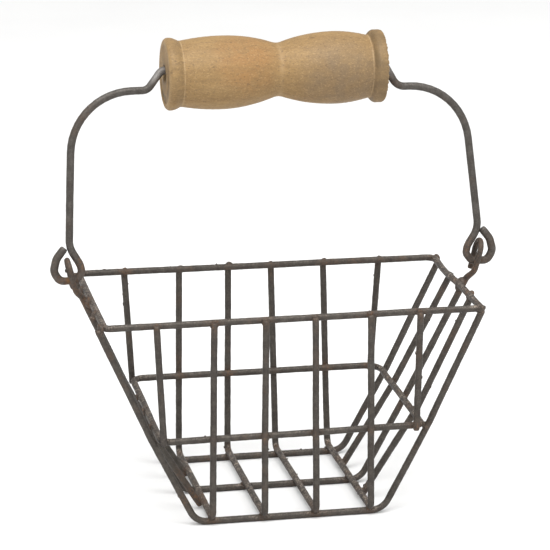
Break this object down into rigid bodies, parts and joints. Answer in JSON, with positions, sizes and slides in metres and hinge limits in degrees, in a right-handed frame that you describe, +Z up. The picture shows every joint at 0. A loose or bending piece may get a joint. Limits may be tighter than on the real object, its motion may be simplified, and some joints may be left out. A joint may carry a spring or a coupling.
{
  "type": "egg collection basket",
  "caption": "Small tapered welded wire egg basket with a swinging wire bail and a turned wooden roller grip.",
  "frame": {"origin": "on the ground under the middle of the rim", "axes": "+X along the basket's length to its right end, -Y to its front, +Z up"},
  "size_m": [0.2018, 0.0914, 0.2079],
  "materials": {
    "basket_wire": "dark oxidised bare wire with light rust",
    "bail_wire": "dark oxidised bare wire, brighter where it is rubbed",
    "grip_wood": "bare turned wood"
  },
  "bodies": {
    "basket": {"rim_hoop": "basket_wire", "girdle_hoop": "basket_wire", "length_wire_front": "basket_wire", "length_wire_back": "basket_wire", "length_wire_centre": "basket_wire", "cross_wire_1": "basket_wire", "cross_wire_2": "basket_wire", "cross_wire_3": "basket_wire", "cross_wire_4": "basket_wire", "side_bar_left_front": "basket_wire", "side_bar_left_back": "basket_wire", "side_bar_right_front": "basket_wire", "side_bar_right_back": "basket_wire", "end_bar_left_front": "basket_wire", "end_bar_left_back": "basket_wire", "end_bar_right_front": "basket_wire", "end_bar_right_back": "basket_wire"},
    "bail": {"bail_wire": "bail_wire"},
    "grip": {"grip": "grip_wood"}
  },
  "joints": [
    {"name": "bail_hinge", "type": "hinge", "parent": "basket", "child": "bail", "pos_m": [0, 0, 0.10265], "axis": [1, 0, 0], "range_deg": [-118, 130]},
    {"name": "grip_spin", "type": "hinge", "parent": "bail", "child": "grip", "pos_m": [0.0015, 0.00936, 0.19166], "axis": [1, 0, 0], "continuous": true}
  ]
}
